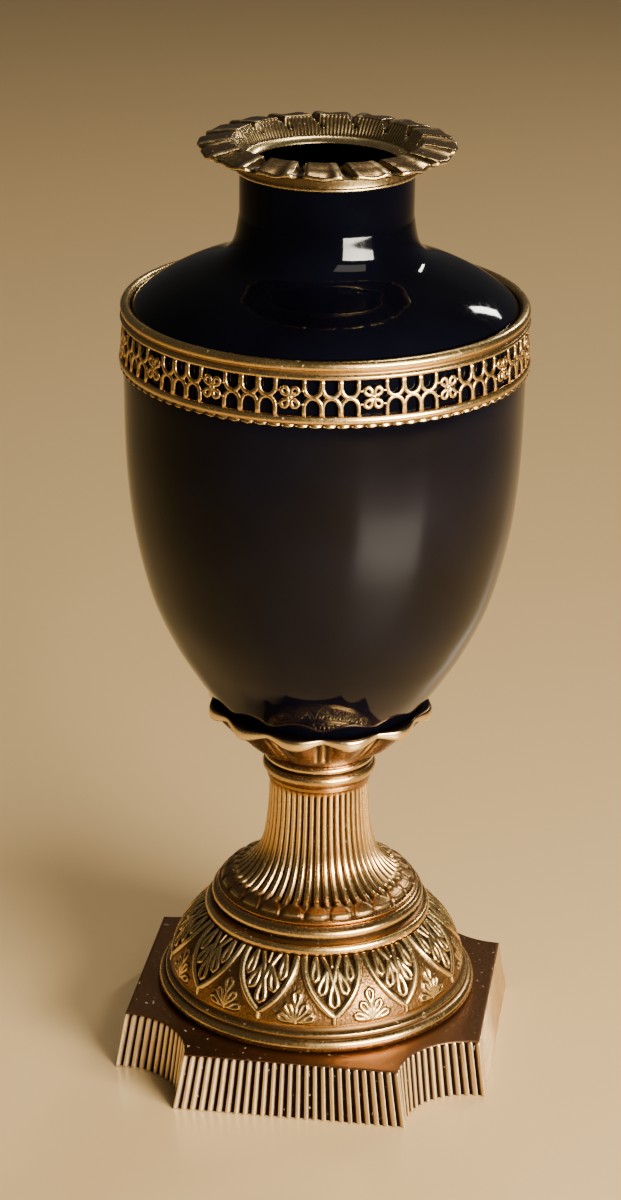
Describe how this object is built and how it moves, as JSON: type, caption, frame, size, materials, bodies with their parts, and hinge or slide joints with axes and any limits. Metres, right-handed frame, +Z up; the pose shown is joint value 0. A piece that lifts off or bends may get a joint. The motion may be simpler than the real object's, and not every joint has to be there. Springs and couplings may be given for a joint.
{
  "type": "mantel urn",
  "caption": "Standing porcelain urn in gilt brass mounts: ribbed notched plinth, leaf foot, fluted stem, leaf cup, pierced band and an open mouth with a flared leaf rim.",
  "frame": {"origin": "centre of the plinth's underside", "axes": "+Z up along the urn's axis, -Y square to one side of the plinth, taken as the front, +X to the right of someone facing that side"},
  "size_m": [0.2106, 0.2106, 0.5042],
  "materials": {
    "gilt_brass": "antique gilt, polished on the high parts with brown patina in the recesses",
    "aged_brass": "brown aged brass, rubbed bright on the ribs",
    "dark_brass": "olive-brown aged brass, burnished on the leaf tips",
    "glazed_porcelain": "near-black cobalt blue glaze, high gloss"
  },
  "bodies": {
    "root": {"plinth": "aged_brass", "foot_dome": "gilt_brass", "fluted_stem": "gilt_brass", "stem_collar": "gilt_brass", "leaf_cup": "gilt_brass", "vase": "glazed_porcelain", "pierced_band": "gilt_brass", "mouth_mount": "dark_brass"}
  },
  "joints": []
}
